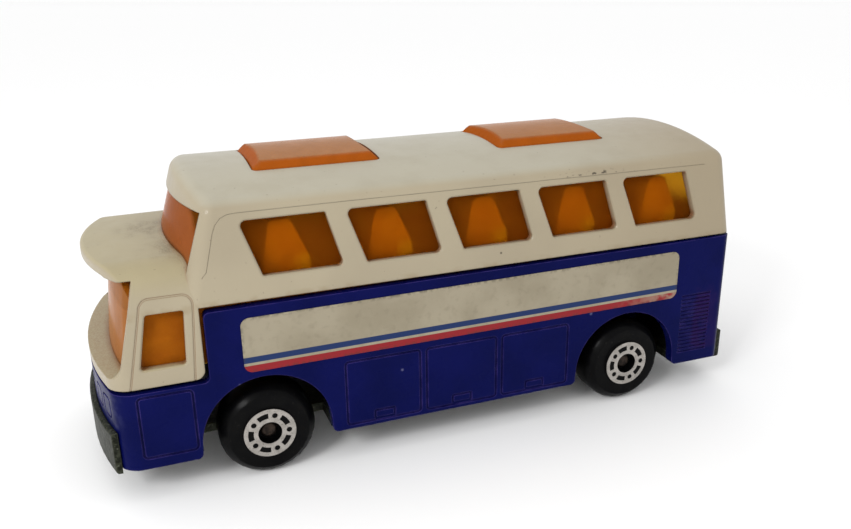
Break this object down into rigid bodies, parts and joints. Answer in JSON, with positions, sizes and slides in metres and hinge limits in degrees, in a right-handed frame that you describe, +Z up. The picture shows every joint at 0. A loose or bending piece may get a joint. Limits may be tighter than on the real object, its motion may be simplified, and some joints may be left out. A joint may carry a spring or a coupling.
{
  "type": "toy coach bus",
  "caption": "Small die-cast toy coach with a cream upper shell, amber windows, a peaked cab, a bare metal base and free-turning plastic wheels.",
  "frame": {"origin": "on the ground under the middle of the toy", "axes": "+X to the front, +Y to the toy's left side, +Z up"},
  "size_m": [0.077, 0.0274, 0.033],
  "materials": {
    "blue_paint": "gloss enamel on die-cast zinc",
    "cream_plastic": "moulded, lightly soiled",
    "amber_plastic": "tinted clear moulding",
    "yellow_plastic": "moulded",
    "bare_zinc": "unpainted die-casting, dull",
    "axle_steel": "tarnished pin",
    "black_plastic": "moulded",
    "silver_foil": "hot stamped foil",
    "label_paper": "printed gloss paper, aged"
  },
  "bodies": {
    "shell": {"body": "blue_paint", "upper": "cream_plastic", "glazing": "amber_plastic", "seats": "yellow_plastic", "base": "bare_zinc", "rivets": "bare_zinc", "axle_front": "axle_steel", "axle_rear": "axle_steel", "label_left": "label_paper", "label_right": "label_paper"},
    "wheel_front_left": {"wheel_front_left": "black_plastic", "hub_front_left": "silver_foil"},
    "wheel_front_right": {"wheel_front_right": "black_plastic", "hub_front_right": "silver_foil"},
    "wheel_rear_left": {"wheel_rear_left": "black_plastic", "hub_rear_left": "silver_foil"},
    "wheel_rear_right": {"wheel_rear_right": "black_plastic", "hub_rear_right": "silver_foil"}
  },
  "joints": [
    {"name": "front_left_spin", "type": "hinge", "parent": "shell", "child": "wheel_front_left", "pos_m": [0.0208, 0.01335, 0.0052], "axis": [0, 1, 0], "continuous": true},
    {"name": "front_right_spin", "type": "hinge", "parent": "shell", "child": "wheel_front_right", "pos_m": [0.0208, -0.01335, 0.0052], "axis": [0, 1, 0], "continuous": true},
    {"name": "rear_left_spin", "type": "hinge", "parent": "shell", "child": "wheel_rear_left", "pos_m": [-0.0234, 0.01335, 0.0052], "axis": [0, 1, 0], "continuous": true},
    {"name": "rear_right_spin", "type": "hinge", "parent": "shell", "child": "wheel_rear_right", "pos_m": [-0.0234, -0.01335, 0.0052], "axis": [0, 1, 0], "continuous": true}
  ]
}
